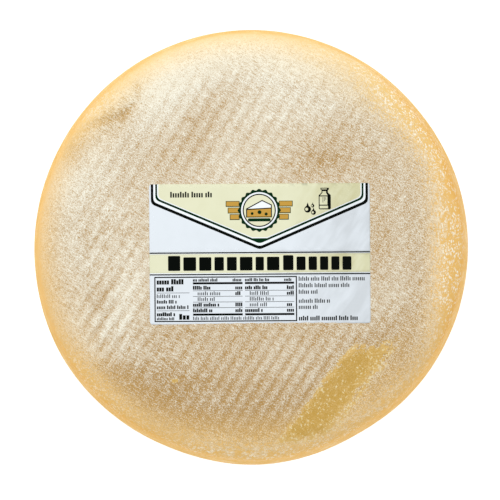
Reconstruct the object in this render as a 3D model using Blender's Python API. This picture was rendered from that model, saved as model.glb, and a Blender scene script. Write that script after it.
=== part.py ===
"""An uncut parmesan wheel with a paper label on its top.

Metres, +Z up. The origin is the middle of the base, on the surface that the wheel rests on.
The label reads from the -Y side, so its upper edge faces +Y and its right end +X.
The wheel is one solid body of cheese: its rind is the skin of that body, not a separate shell.
"""

import math

import bmesh
import bpy
from mathutils import Vector
from mathutils.geometry import delaunay_2d_cdt

# The wheel's body
WHEEL_DIAMETER = 0.330
WHEEL_HEIGHT = 0.105
SIDE_BULGE = 0.0035             # the wall stands out this far at its middle
TOP_FALL = 0.0040               # the top sinks this far from its middle to its rim
TOP_FALL_POWER = 4              # a high power keeps the middle flat
TOP_SHOULDER_WIDTH = 0.019
TOP_SHOULDER_DROP = 0.016
BASE_SHOULDER = 0.009

# Swells and flats of the outline: angle in degrees, change of radius, half width in degrees
OUTLINE_SWELLS = (
    (40.0, -0.0005, 14.0),
    (90.0, 0.0004, 20.0),
    (150.0, -0.0006, 24.0),
    (210.0, 0.0011, 18.0),
    (248.0, -0.0005, 10.0),
    (272.0, 0.0005, 10.0),
    (300.0, -0.0014, 13.0),
)

# Hollows pressed into the top: middle x and y, half length, half width, turn in degrees, depth
TOP_HOLLOWS = (
    (-0.106, 0.091, 0.028, 0.0085, 46.0, 0.0018),
    (0.054, 0.066, 0.020, 0.012, 10.0, 0.0008),
    (-0.114, -0.020, 0.036, 0.015, 84.0, 0.0009),
    (-0.058, -0.116, 0.046, 0.018, -20.0, 0.0012),
    (0.062, -0.108, 0.042, 0.013, 53.0, 0.0008),
)

# Ridges that the draining mat printed into the top, one for each of its strands
MAT_DIRECTION = math.radians(57.5)
MAT_PITCH = 0.00895
MAT_PITCH_GROWTH = 0.000027     # the pitch widens towards the upper left
MAT_FAN = 1.67                  # the strands spread towards the upper right, per square metre
MAT_FAN_START = 0.072
MAT_DEPTH = 0.0005
MAT_FADE = 0.016                # the print dies out over this distance inside the shoulder
MAT_STEP_ALONG = 0.0105         # spacing of points along a ridge

# The paper label
LABEL_WIDTH = 0.1673
LABEL_HEIGHT = 0.1063
LABEL_MIDDLE = (0.0066, -0.0049)
LABEL_TURN = math.radians(0.4)
LABEL_CORNER = 0.0024
LABEL_THICKNESS = 0.00025
LABEL_GAP = 0.0003              # clearance to the ridge tops beneath it
LABEL_STEP = 0.0105

# Facets
AROUND = 96
WALL_STEPS = 5
SHOULDER_STEPS = 6
BASE_SHOULDER_STEPS = 3
CORNER_STEPS = 3
MERGE = 1e-6                    # points nearer than this are one in the flat triangulation


def angle_apart(first, second):
    """Smallest difference between two angles in degrees."""
    return abs((first - second + 180.0) % 360.0 - 180.0)


def outline_radius(angle):
    """Radius of the wheel's widest outline at an angle in radians."""
    radius = WHEEL_DIAMETER / 2
    for middle, change, half_width in OUTLINE_SWELLS:
        apart = angle_apart(math.degrees(angle), middle)
        radius += change * math.exp(-((apart / half_width) ** 2))
    return radius


def broad_top(x, y):
    """Height of the top without its shoulder and its mat ridges."""
    height = WHEEL_HEIGHT
    height -= TOP_FALL * (math.hypot(x, y) * 2 / WHEEL_DIAMETER) ** TOP_FALL_POWER
    for middle_x, middle_y, length, width, turn, depth in TOP_HOLLOWS:
        cosine = math.cos(math.radians(turn))
        sine = math.sin(math.radians(turn))
        along = (cosine * (x - middle_x) + sine * (y - middle_y)) / length
        across = (cosine * (y - middle_y) - sine * (x - middle_x)) / width
        height -= depth * math.exp(-(along ** 2) - across ** 2)
    return height


def wall_set_back(share):
    """How far the wall lies inside the widest outline, with share 0 at its foot and 1 at its top."""
    return SIDE_BULGE * (2 * share - 1) ** 2


def wheel_profile():
    """Side profile from the base up: steps inward from the outline, and heights.

    The heights of the shoulder are measured down from the top, which isn't level.
    """
    below = []
    for step in range(BASE_SHOULDER_STEPS):
        turn = math.radians(90.0 * step / BASE_SHOULDER_STEPS)
        inward = wall_set_back(0.0) + BASE_SHOULDER * (1 - math.sin(turn))
        below.append((inward, BASE_SHOULDER * (1 - math.cos(turn))))
    wall_top = WHEEL_HEIGHT - TOP_FALL - TOP_SHOULDER_DROP
    for step in range(WALL_STEPS + 1):
        share = step / WALL_STEPS
        below.append((wall_set_back(share), BASE_SHOULDER + share * (wall_top - BASE_SHOULDER)))
    above = []
    for step in range(1, SHOULDER_STEPS + 1):
        turn = math.radians(90.0 * step / SHOULDER_STEPS)
        inward = wall_set_back(1.0) + TOP_SHOULDER_WIDTH * (1 - math.cos(turn))
        above.append((inward, TOP_SHOULDER_DROP * (1 - math.sin(turn))))
    return below, above


def ring(mesh, inward, height_at):
    """One closed ring of vertices, a step inside the outline."""
    vertices = []
    for index in range(AROUND):
        angle = math.tau * index / AROUND
        radius = outline_radius(angle) - inward
        x = radius * math.cos(angle)
        y = radius * math.sin(angle)
        vertices.append(mesh.verts.new((x, y, height_at(x, y))))
    return vertices


def bridge(mesh, lower, upper):
    """Quads between two rings of the same number of vertices."""
    count = len(lower)
    for index in range(count):
        following = (index + 1) % count
        mesh.faces.new((lower[index], lower[following], upper[following], upper[index]))


def fill_flat(mesh, edge, inner, flip=False):
    """Triangles over a loop of vertices and the loose vertices inside it, laid out as seen from above."""
    vertices = edge + inner
    flat = [Vector((vertex.co.x, vertex.co.y)) for vertex in vertices]
    loop = [(index, (index + 1) % len(edge)) for index in range(len(edge))]
    _, _, faces, sources, _, _ = delaunay_2d_cdt(flat, loop, [], 1, MERGE)
    for face in faces:
        corners = [vertices[sources[corner][0]] for corner in face]
        if flip:
            corners.reverse()
        mesh.faces.new(corners)


def mat_point(strand, along):
    """Where a strand of the mat lay, by its number from the middle and a distance along it."""
    across = MAT_PITCH * strand + MAT_PITCH_GROWTH * strand ** 2
    across *= 1 + MAT_FAN * (along + MAT_FAN_START) ** 2
    x = math.cos(MAT_DIRECTION) * along - math.sin(MAT_DIRECTION) * across
    y = math.sin(MAT_DIRECTION) * along + math.cos(MAT_DIRECTION) * across
    return x, y


def ridge_vertices(mesh, inward):
    """Vertices in the furrows and on the crests of the mat ridges, inside a ring."""
    vertices = []
    reach = WHEEL_DIAMETER / 2
    strands = math.ceil(reach / MAT_PITCH) + 2
    steps = math.ceil(reach / MAT_STEP_ALONG)
    margin = MAT_PITCH / 2
    for half_strand in range(-2 * strands, 2 * strands + 1):
        in_furrow = half_strand % 2 == 0
        for step in range(-steps, steps + 1):
            x, y = mat_point(half_strand / 2, step * MAT_STEP_ALONG)
            inside = outline_radius(math.atan2(y, x)) - inward - math.hypot(x, y)
            if inside < margin:
                continue
            height = broad_top(x, y)
            if in_furrow:
                height -= MAT_DEPTH * min(1.0, inside / MAT_FADE)
            vertices.append(mesh.verts.new((x, y, height)))
    return vertices


def rounded_rectangle(width, height, corner):
    """Points round a flat rectangle with round corners, with extra points along its straight sides."""
    spots = []
    for number, (side_x, side_y) in enumerate(((1, 1), (-1, 1), (-1, -1), (1, -1))):
        for step in range(CORNER_STEPS + 1):
            turn = math.radians(90.0 * (number + step / CORNER_STEPS))
            x = side_x * (width / 2 - corner) + corner * math.cos(turn)
            y = side_y * (height / 2 - corner) + corner * math.sin(turn)
            spots.append((x, y))
    points = []
    for index, (x, y) in enumerate(spots):
        next_x, next_y = spots[(index + 1) % len(spots)]
        pieces = max(1, round(math.hypot(next_x - x, next_y - y) / LABEL_STEP))
        for piece in range(pieces):
            share = piece / pieces
            points.append((x + share * (next_x - x), y + share * (next_y - y)))
    return points


def label_place(x, y):
    """A point of the flat label, moved and turned to where it lies on the wheel."""
    cosine = math.cos(LABEL_TURN)
    sine = math.sin(LABEL_TURN)
    return LABEL_MIDDLE[0] + cosine * x - sine * y, LABEL_MIDDLE[1] + sine * x + cosine * y


def label_sheet(mesh, above_cheese, flip):
    """One face of the label, bent over the top of the wheel. Gives back its edge."""
    edge_points = rounded_rectangle(LABEL_WIDTH, LABEL_HEIGHT, LABEL_CORNER)
    columns = round(LABEL_WIDTH / LABEL_STEP)
    rows = round(LABEL_HEIGHT / LABEL_STEP)
    inner_points = []
    for column in range(1, columns):
        for row in range(1, rows):
            inner_points.append((LABEL_WIDTH * (column / columns - 0.5), LABEL_HEIGHT * (row / rows - 0.5)))
    groups = []
    for points in (edge_points, inner_points):
        placed = [label_place(x, y) for x, y in points]
        groups.append([mesh.verts.new((x, y, broad_top(x, y) + above_cheese)) for x, y in placed])
    fill_flat(mesh, groups[0], groups[1], flip)
    return groups[0]


def finish(mesh, name, colour, roughness):
    """Turn a bmesh into a smooth-shaded object with a material of its own."""
    bmesh.ops.recalc_face_normals(mesh, faces=mesh.faces[:])
    data = bpy.data.meshes.new(name)
    mesh.to_mesh(data)
    mesh.free()
    data.shade_smooth()
    data.set_sharp_from_angle(angle=math.radians(40.0))
    material = bpy.data.materials.new(name + "_finish")
    material.use_nodes = True
    shader = material.node_tree.nodes["Principled BSDF"]
    shader.inputs["Base Color"].default_value = colour
    shader.inputs["Roughness"].default_value = roughness
    shader.inputs["Metallic"].default_value = 0.0
    data.materials.append(material)
    made = bpy.data.objects.new(name, data)
    bpy.context.collection.objects.link(made)
    return made


def build_wheel():
    """The cheese: a flat base, a bulging wall, a round shoulder and the ridged top."""
    mesh = bmesh.new()
    below, above = wheel_profile()
    rings = []
    for inward, height in below:
        rings.append(ring(mesh, inward, lambda x, y, level=height: level))
    for inward, drop in above:
        rings.append(ring(mesh, inward, lambda x, y, down=drop: broad_top(x, y) - down))
    for lower, upper in zip(rings, rings[1:]):
        bridge(mesh, lower, upper)
    mesh.faces.new(reversed(rings[0]))
    fill_flat(mesh, rings[-1], ridge_vertices(mesh, above[-1][0]))
    return finish(mesh, "cheese_wheel", (0.76, 0.62, 0.40, 1.0), 0.65)


def build_label():
    """The paper label: a thin sheet that follows the top."""
    mesh = bmesh.new()
    under = label_sheet(mesh, LABEL_GAP, flip=True)
    over = label_sheet(mesh, LABEL_GAP + LABEL_THICKNESS, flip=False)
    bridge(mesh, under, over)
    return finish(mesh, "label", (0.86, 0.88, 0.88, 1.0), 0.45)


def main():
    for old in list(bpy.data.objects):
        bpy.data.objects.remove(old, do_unlink=True)
    build_wheel()
    build_label()


main()
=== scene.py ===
"""Looks of the parmesan wheel: its rind, its bloom, the mat's print on its top and its paper label."""

import math

import bpy
import numpy as np
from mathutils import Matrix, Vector
from mathutils.geometry import delaunay_2d_cdt


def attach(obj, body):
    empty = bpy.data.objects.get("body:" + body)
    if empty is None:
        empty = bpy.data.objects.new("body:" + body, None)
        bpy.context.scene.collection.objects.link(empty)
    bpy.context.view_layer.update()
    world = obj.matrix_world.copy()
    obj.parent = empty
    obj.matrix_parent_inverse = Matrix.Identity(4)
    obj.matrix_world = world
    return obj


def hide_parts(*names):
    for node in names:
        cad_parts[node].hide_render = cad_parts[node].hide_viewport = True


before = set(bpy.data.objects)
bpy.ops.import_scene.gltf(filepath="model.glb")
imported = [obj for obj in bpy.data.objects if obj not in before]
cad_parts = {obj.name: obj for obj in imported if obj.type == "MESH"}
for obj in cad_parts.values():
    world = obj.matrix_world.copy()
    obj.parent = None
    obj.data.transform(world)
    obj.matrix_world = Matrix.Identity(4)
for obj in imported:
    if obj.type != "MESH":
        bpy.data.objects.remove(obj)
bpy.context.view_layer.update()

# ---------------------------------------------------------------- sizes, in metres, as in the CAD

MM = 0.001
WHEEL_RADIUS = 0.165
WHEEL_HEIGHT = 0.105
SIDE_BULGE = 0.0035
TOP_FALL = 0.0040
TOP_FALL_POWER = 4
SHOULDER_WIDTH = 0.019
SHOULDER_DROP = 0.016
BASE_SHOULDER = 0.009

# Swells and flats of the outline: angle in degrees, change of radius, half width in degrees
OUTLINE_SWELLS = (
    (40.0, -0.0005, 14.0),
    (90.0, 0.0004, 20.0),
    (150.0, -0.0006, 24.0),
    (210.0, 0.0011, 18.0),
    (248.0, -0.0005, 10.0),
    (272.0, 0.0005, 10.0),
    (300.0, -0.0014, 13.0),
)

# Hollows in the top: middle x and y, half length, half width, turn in degrees, depth
HOLLOWS = (
    (-0.106, 0.091, 0.028, 0.0085, 46.0, 0.0012),
    (0.054, 0.066, 0.020, 0.012, 10.0, 0.0008),
    (-0.114, -0.020, 0.036, 0.015, 84.0, 0.0009),
    (-0.058, -0.116, 0.046, 0.018, -20.0, 0.0012),
    (0.062, -0.108, 0.042, 0.013, 53.0, 0.0008),
)

MAT_DIRECTION = math.radians(57.5)
MAT_PITCH = 0.00895
MAT_PITCH_GROWTH = 0.000027
MAT_FAN = 1.67
MAT_FAN_START = 0.072
MAT_DEPTH = 0.0005

LABEL_WIDTH = 0.1673
LABEL_HEIGHT = 0.1063
LABEL_MIDDLE = (0.0066, -0.0049)
LABEL_TURN = math.radians(0.4)
LABEL_CORNER = 0.0024

# ---------------------------------------------------------------- where the finish varies

# How thick the bloom lies, how that rises with each metre of y, how far the ovals below change it, what the
# rim adds, and how much the crease takes away, which paints shade into the crease
BLOOM_LEVEL = 0.538
BLOOM_RISE = 1.55
BLOOM_VARIES = 0.85
BLOOM_AT_RIM = 0.10
CREASE_PAINTED_SHADE = 0.17

# Soft ovals in millimetres: middle x and y, half length, half width, turn in degrees, amount. The dark ones
# along the dent at the upper left, near x -110 to -98 and y 93 to 100, are painted shade in its crease.
THICK_AND_THIN_BLOOM = (
    (-66, 124, 42, 17, 25, 0.26), (22, 134, 40, 10, 0, 0.14), (-35, 101, 46, 15, 40, -0.30),
    (-20, 63, 17, 14, 0, 0.10), (56, 68, 18, 11, 0, -0.34), (72, 93, 22, 13, 45, -0.16),
    (-110, 93, 26, 10, 38, -0.16), (-119, 74, 20, 11, 20, 0.16), (-130, 47, 20, 11, 0, 0.16),
    (-92, -33, 27, 12, 70, 0.34), (-112, 0, 30, 55, 0, 0.20), (105, 70, 30, 25, 0, -0.08),
    (115, -78, 12, 12, 0, -0.14), (40, 80, 30, 18, 0, -0.09), (-80, -135, 30, 12, -30, -0.08),
    (-100, -60, 35, 20, 0, 0.08), (30, -90, 60, 20, 0, 0.14), (-80, -82, 30, 12, 0, 0.12),
    (0, 110, 60, 30, 0, 0.16), (-60, 96, 25, 18, 45, 0.10), (95, -50, 18, 30, 0, 0.10),
    (70, 60, 40, 25, 0, -0.10), (120, -45, 20, 35, 0, 0.08), (-107, 100, 25, 15, 45, -0.10),
    (-106, 99, 16, 4, 20, -0.24), (-115, -12, 22, 24, 0, 0.10), (-98, -60, 8, 18, 0, 0.14),
    (-112, 34, 16, 10, 0, 0.12), (-85, -80, 20, 8, 0, 0.08), (55, 74, 12, 8, 0, 0.12),
    (115, -10, 10, 30, 0, 0.08), (-137, 75, 10, 14, 60, -0.20), (-122, 60, 14, 14, 0, 0.10),
    (-50, 62, 20, 10, 0, -0.10), (-119, -100, 12, 16, 45, -0.14), (35, 56, 12, 8, 0, -0.12),
    (140, -20, 10, 35, 0, 0.12), (0, -152, 70, 8, 0, 0.16), (96, -105, 14, 14, 0, -0.14),
    (-98, 98.5, 8, 3, 15, -0.25), (-83, 119, 12, 4, 70, -0.22), (-76, 114, 16, 8, 60, 0.16),
    (-46.6, -63.8, 3, 1.6, -20, -0.50), (-58.7, -101.9, 2.2, 2, 0, -0.40), (-45.7, 97, 3.5, 1.4, -30, -0.40),
    (52.5, 66.5, 3, 2.5, 0, -0.30), (-116, -40, 9, 9, 0, -0.16), (-119, 2, 8, 8, 0, -0.10),
    (98, 13, 32, 14, 90, -0.16), (144, 43, 45, 12, 90, 0.08), (-62, -109, 55, 18, -10, -0.20),
    (87, -82, 46, 11, 50, -0.20), (18, -78, 20, 15, 0, 0.10), (100, -93, 18, 10, 50, 0.12),
    (-39, 74, 14, 12, 0, -0.12), (-24, -116, 14, 10, 0, 0.08), (-134, 8, 10, 45, 0, 0.12),
    (-112, -58, 28, 10, 0, 0.13), (-134, 74, 10, 12, 0, -0.08), (10, 148, 40, 10, 0, 0.12),
    (132, -20, 10, 25, 0, 0.07), (121, -48, 12, 12, 0, -0.09), (0, -75, 20, 10, 0, -0.08),
    (-153, 10, 10, 65, 0, -0.12), (-122, -95, 12, 40, 50, -0.10), (112, -95, 12, 30, -48, -0.10),
    (-137, 79, 8, 22, -30, -0.25), (130, -46, 12, 18, 0, -0.10), (-58, -135, 30, 12, -25, -0.10),
    (118, -70, 12, 25, -30, -0.08), (-35, -136, 22, 10, 0, -0.08), (18, -135, 15, 12, 0, -0.10),
    (96, -116, 12, 14, 0, -0.10), (0, 90, 25, 12, 0, -0.05), (-85, -127, 30, 10, -35, -0.11),
    (94, -118, 12, 12, 0, -0.10), (133, -30, 12, 22, 0, -0.10), (115, 90, 40, 12, -52, -0.12),
    (75, 132, 20, 10, -30, -0.09), (152, 17, 10, 20, 0, -0.09), (132, 50, 12, 20, 0, -0.08),
    (-105, -62, 18, 14, 0, 0.13), (-115, -97, 10, 10, 0, -0.06), (-67, 93, 18, 8, 0, 0.09),
    (-39, 55, 12, 8, 0, 0.08), (-134, 55, 10, 12, 0, -0.08), (113, -40, 9, 9, 0, 0.07),
    (-135, 75, 12, 30, -30, -0.06), (-35, -135, 45, 9, 0, -0.10), (131, -10, 11, 60, 0, -0.12),
    (100, -80, 18, 13, 0, -0.10), (109, -98, 10, 10, 0, -0.08), (-85, -117, 20, 9, -20, -0.09),
    (-50, 150, 25, 10, 0, -0.06), (120, 20, 9, 60, 0, -0.05), (-116, -78, 12, 12, 0, 0.20),
    (-124, -40, 10, 14, 0, 0.08), (-91, -102, 12, 10, 0, -0.10), (0, -147, 22, 9, 0, -0.13),
    (113, -94, 10, 10, 0, -0.08), (-128, 12, 12, 20, 0, -0.07), (-48, -112, 30, 10, -15, 0.06),
    (100, 60, 12, 15, 0, -0.06), (130, -45, 12, 18, 0, 0.13), (100, 110, 35, 12, -45, -0.06),
    (5, -145, 25, 8, 0, -0.14), (-92, -101, 14, 10, 0, -0.05), (-112, 78, 16, 12, 0, -0.04),
)

# How hard the mat pressed everywhere, between which distances in from the shoulder it began to, and the
# ovals where it pressed harder
PRESSED_EVERYWHERE = 0.15
PRESSED_MARGIN = (0.001, 0.012)
MAT_PRESSED = (
    (16, -102, 75, 40, 5, 0.75),
    (-38, 92, 55, 37, 20, 0.40),
    (-110, -12, 60, 30, 90, 0.28),
    (118, 0, 50, 25, 90, 0.02),
    (-120, -70, 35, 24, 60, 0.75),
    (55, 85, 40, 25, 0, 0.12),
)

# Where the mat's thin cross threads show in the bloom: the same ovals
CROSSED_BY_THREADS = (
    (-85, 95, 60, 40, 40, 0.90),
    (-125, 30, 50, 28, 80, 0.50),
    (115, 20, 60, 30, 90, 0.70),
    (85, 110, 40, 30, 0, 0.50),
)

# Where the rind is creased along the strands: the same ovals
CREASED = (
    (-112, 0, 65, 30, 90, 1.00),
    (-85, -85, 40, 25, -35, 0.90),
    (120, -10, 60, 22, 90, 0.25),
    (30, 110, 60, 25, -10, 0.40),
)

# How much golden skin shows through the bloom at some distances in from the outline
GOLDEN_MARGIN = (0.0036, 0.0066, 0.0125, 0.0220, 0.0400)
GOLDEN_SHARE = (1.00, 0.70, 0.42, 0.16, 0.0)
PATCH_REACH = 0.055

# Where more or less of the skin shows there: the same ovals
GOLDEN_PATCHES = (
    (148, 0, 10, 80, 0, 0.37),
    (106, 108, 60, 11, -45, 0.20),
    (0, -156, 70, 14, 0, -0.17),
    (-10, 155, 85, 30, 0, -0.28),
    (-150, 30, 30, 75, 0, -0.28),
    (78, -132, 30, 12, 30, -0.12),
    (80, 142, 25, 20, -30, -0.34),
    (128, -80, 30, 14, 60, -0.14),
)

# How warm the bloom's cream and tan turn at some distances in from the outline, and where more or less so
WARM_MARGIN = (0.008, 0.042)
WARM_PATCHES = (
    (0, -150, 120, 40, 0, 0.28),
    (-140, 40, 40, 90, 0, -0.75),
    (-128, 74, 30, 30, 0, -0.25),
    (125, 30, 20, 90, 0, -0.25),
    (-20, 145, 90, 35, 0, -0.50),
    (-104, -85, 35, 22, -45, -0.80),
    (125, -50, 12, 40, 0, -0.50),
    (112, 80, 50, 22, -55, -0.80),
    (150, -10, 35, 70, 0, -0.15),
    (-80, 115, 45, 22, 35, -0.60),
    (120, -95, 50, 20, 50, -0.55),
    (-145, -55, 20, 45, 0, -0.55),
    (-62, -116, 35, 16, -20, -1.00),
)

# Where the bloom lies on the skin in crisp flakes: the same ovals
FLAKY = (
    (115, 105, 70, 35, -45, 1.00),
    (155, -10, 70, 30, 90, 1.00),
    (100, -125, 60, 25, 40, 0.70),
    (-10, -155, 90, 16, 0, 0.90),
    (-118, -112, 60, 16, -42, 0.90),
    (-125, 107, 30, 12, 42, 0.60),
)

# Where the skin and the bloom lie in streaks along the outline: the same ovals
STREAKED = (
    (125, 15, 60, 30, 90, 1.00),
    (110, -115, 60, 15, 45, 0.80),
    (0, -158, 70, 15, 0, 0.60),
)

# Where the nap's fibres stand out one by one: the same ovals
HATCHED = (
    (-104, 104, 30, 13, 38, 1.00),
    (-52, -98, 30, 16, -20, 0.60),
)

# The crease across the dent at the upper left, as a line of points, with its half width and depth
DENT_CREASE = ((-0.136, 0.086), (-0.1174, 0.0947), (-0.1052, 0.0978), (-0.0961, 0.1008),
               (-0.0869, 0.1100), (-0.0862, 0.1237))
CREASE_HALF_WIDTH = 0.0021
CREASE_DEPTH = 0.0009

# A fleck of bare skin at the lower left: the same ovals
BARE_FLECKS = (
    (-58, -101.2, 2.8, 1.4, 10, 1.00),
)

# The stripe that the mat rubbed bare: how far across and along it the skin starts and ends turning bare,
# and how much its right side flares towards the upper end
BARE_MIDDLE = (0.062, -0.109)
BARE_TURN = math.radians(53.0)
BARE_FROM_LEFT = (0.0145, 0.0045)
BARE_FROM_RIGHT = (-0.0255, -0.0055)
BARE_FROM_ABOVE = (0.056, 0.027)
BARE_FROM_BELOW = (-0.055, -0.037)
BARE_FLARE = 0.001
BARE_FLARE_REACH = (0.010, 0.045)

# Heights between which the wall turns into the shoulder above and into the base below, and how far the
# base's finish differs from the wall's
WALL_UPPER_END = (0.070, 0.090)
WALL_LOWER_END = (0.008, 0.001)
BASE_SHARE = 0.9

# Density of the visible mesh, and how far under the label it is dense and starts being coarse
AROUND = 600
BASE_RINGS = 6
WALL_RINGS = 24
SHOULDER_RINGS = 19
TOP_SPACING = 0.00108
DENSE_UNDER_LABEL = 0.003
COARSE_UNDER_LABEL = 0.0045
HIDDEN_SPACING = 0.004
HIDDEN_BED = 0.0009
BASE_SPACING = 0.005

# How far beyond the label's edge the rind stays smooth, how far under it the mat's print goes on, up to
# which height the base is smooth, and how much of the lumps the mat's threads flattened
SMOOTH_BEYOND_LABEL = 0.0005
PRINT_UNDER_LABEL = 0.004
SMOOTH_BELOW = 0.001
FLATTENED_BY_THREADS = 0.8


# ---------------------------------------------------------------- the shape as functions

def own_axes(x, y, middle, turn):
    """Places measured along and across a turned direction, from a middle."""
    cosine = math.cos(turn)
    sine = math.sin(turn)
    moved_x = x - middle[0]
    moved_y = y - middle[1]
    return cosine * moved_x + sine * moved_y, cosine * moved_y - sine * moved_x


def soft_oval(x, y, oval):
    """1 in the middle of an oval, fading to 0 outside it."""
    middle_x, middle_y, length, width, turn = oval[:5]
    along, across = own_axes(x, y, (middle_x, middle_y), math.radians(turn))
    return np.exp(-((along / length) ** 2) - (across / width) ** 2)


def all_ovals(x, y, ovals):
    """The amounts of some soft ovals, which are given in millimetres, added up."""
    x = x / MM
    y = y / MM
    return sum(oval[5] * soft_oval(x, y, oval) for oval in ovals)


def near_line(x, y, points, half_width):
    """1 on a line through some points, fading to 0 beside it and towards its ends."""
    nearest = np.full_like(x, 1.0)
    for (x1, y1), (x2, y2) in zip(points[:-1], points[1:]):
        length = math.hypot(x2 - x1, y2 - y1)
        along = np.clip(((x - x1) * (x2 - x1) + (y - y1) * (y2 - y1)) / length ** 2, 0, 1)
        nearest = np.minimum(nearest, np.hypot(x - x1 - along * (x2 - x1), y - y1 - along * (y2 - y1)))
    return np.exp(-((nearest / half_width) ** 2))


def outline_radius(angle):
    """Radius of the widest outline at an angle in radians."""
    radius = np.full_like(angle, WHEEL_RADIUS)
    for middle, change, half_width in OUTLINE_SWELLS:
        apart = np.abs((np.degrees(angle) - middle + 180.0) % 360.0 - 180.0)
        radius += change * np.exp(-((apart / half_width) ** 2))
    return radius


def broad_top(x, y):
    """Height of the top without its shoulder and its mat ridges."""
    height = WHEEL_HEIGHT - TOP_FALL * (np.hypot(x, y) / WHEEL_RADIUS) ** TOP_FALL_POWER
    for hollow in HOLLOWS:
        height = height - hollow[5] * soft_oval(x, y, hollow)
    return height - CREASE_DEPTH * near_line(x, y, DENT_CREASE, CREASE_HALF_WIDTH)


def label_flat(x, y):
    """Wheel coordinates to the label's own, measured from its middle."""
    return own_axes(x, y, LABEL_MIDDLE, LABEL_TURN)


def soft_step(low, high, value):
    """0 at low and 1 at high, with a soft step between; low may be the greater."""
    share = np.clip((value - low) / (high - low), 0.0, 1.0)
    return share * share * (3 - 2 * share)


# ---------------------------------------------------------------- node writing

class Wire:
    """A value between two nodes, so that a rule in a node tree can be written as arithmetic."""

    def __init__(self, tree, socket):
        self.tree = tree
        self.socket = socket

    def math(self, operation, *others):
        node = self.tree.nodes.new("ShaderNodeMath")
        node.operation = operation
        for socket, value in zip(node.inputs, (self,) + others):
            plug(self.tree, value, socket)
        return Wire(self.tree, node.outputs[0])

    def __add__(self, other):
        return self.math("ADD", other)

    def __sub__(self, other):
        return self.math("SUBTRACT", other)

    def __mul__(self, other):
        return self.math("MULTIPLY", other)

    def __truediv__(self, other):
        return self.math("DIVIDE", other)

    def clamped(self, low=0.0, high=1.0):
        return self.math("MAXIMUM", low).math("MINIMUM", high)

    def rising(self, low, high):
        """0 at low and 1 at high, with a soft step between; low may be the greater."""
        return added(self.tree, "ShaderNodeMapRange",
                     {"Value": self, "From Min": low, "From Max": high},
                     interpolation_type="SMOOTHSTEP")


def plug(tree, value, socket):
    if isinstance(value, Wire):
        tree.links.new(value.socket, socket)
    else:
        socket.default_value = value


def added(tree, kind, inputs=None, output=0, **settings):
    """A new node with its settings and inputs, given back as the wire from one of its outputs."""
    node = tree.nodes.new(kind)
    for name, value in settings.items():
        setattr(node, name, value)
    for name, value in (inputs or {}).items():
        plug(tree, value, node.inputs[name])
    return Wire(tree, node.outputs[output])


def vector_math(tree, operation, first, second):
    return added(tree, "ShaderNodeVectorMath", {0: first, 1: second}, operation=operation)


def split(tree, place):
    """The x, y and z of a place."""
    node = added(tree, "ShaderNodeSeparateXYZ", {"Vector": place}).socket.node
    return [Wire(tree, output) for output in node.outputs]


def joined(tree, x, y, z=0.0):
    return added(tree, "ShaderNodeCombineXYZ", {"X": x, "Y": y, "Z": z})


def wound(tree, place):
    """A place's arc round the wheel, measured on the outline, and its distance from the base's middle."""
    x, y, _ = split(tree, place)
    outwards = added(tree, "ShaderNodeVectorMath", {0: place}, output=1, operation="LENGTH")
    return y.math("ARCTAN2", x) * WHEEL_RADIUS, outwards


def mottle(tree, place, size, seed, detail=2.0, roughness=0.5):
    """Noise between -1 and 1 whose features measure about size."""
    noise = added(tree, "ShaderNodeTexNoise",
                  {"Vector": place, "W": seed, "Scale": 1 / size, "Detail": detail,
                   "Roughness": roughness},
                  noise_dimensions="4D")
    return noise * 2.0 - 1.0


def swirled(tree, place, size, reach, seed):
    """Places drawn along slow swirls, which pull the fine noise read from them into strokes."""
    swirl = added(tree, "ShaderNodeTexNoise",
                  {"Vector": place, "W": seed, "Scale": 1 / size, "Detail": 1.0},
                  output=1, noise_dimensions="4D")
    middled = vector_math(tree, "SUBTRACT", swirl, (0.5, 0.5, 0.5))
    drawn = added(tree, "ShaderNodeVectorMath", {0: middled, "Scale": 2 * reach}, operation="SCALE")
    return vector_math(tree, "ADD", place, drawn)


def turned(tree, place, angle, stretch):
    """Places read along axes turned about the upright one, so that a pattern stretches along them."""
    return added(tree, "ShaderNodeMapping",
                 {"Vector": place, "Rotation": (0.0, 0.0, angle), "Scale": stretch},
                 vector_type="TEXTURE")


def strokes(tree, place, size, seed):
    """Short strokes that lie about size apart, from -1 between them to 1 along their middles."""
    field = mottle(tree, place, size, detail=0.0, seed=seed)
    return (field.math("ABSOLUTE") * -6.0 + 1.0).math("MAXIMUM", -1.0)


def dashes(tree, place, size, share):
    """1 on short dashes that lie about size apart and cover about a share of the surface, 0 between."""
    apart = added(tree, "ShaderNodeTexVoronoi", {"Vector": place, "Scale": 1 / size})
    reach = (0.24 * share) ** (1 / 3)
    return (apart * -1.0 + reach).rising(-0.06, 0.06)


def named(tree, name):
    """A named attribute of the mesh, read by a material."""
    return added(tree, "ShaderNodeAttribute", output=2, attribute_name=name)


def mixed(tree, share, first, second):
    """A colour between two colours."""
    node = tree.nodes.new("ShaderNodeMix")
    node.data_type = "RGBA"
    plug(tree, share, node.inputs[0])
    plug(tree, first, node.inputs[6])
    plug(tree, second, node.inputs[7])
    return Wire(tree, node.outputs[2])


def colour(red, green, blue):
    return (red, green, blue, 1.0)


def new_material(name):
    material = bpy.data.materials.new(name)
    material.use_nodes = True
    tree = material.node_tree
    return material, tree, tree.nodes["Principled BSDF"], added(tree, "ShaderNodeTexCoord", output=3)


# ---------------------------------------------------------------- the rind's material

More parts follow.
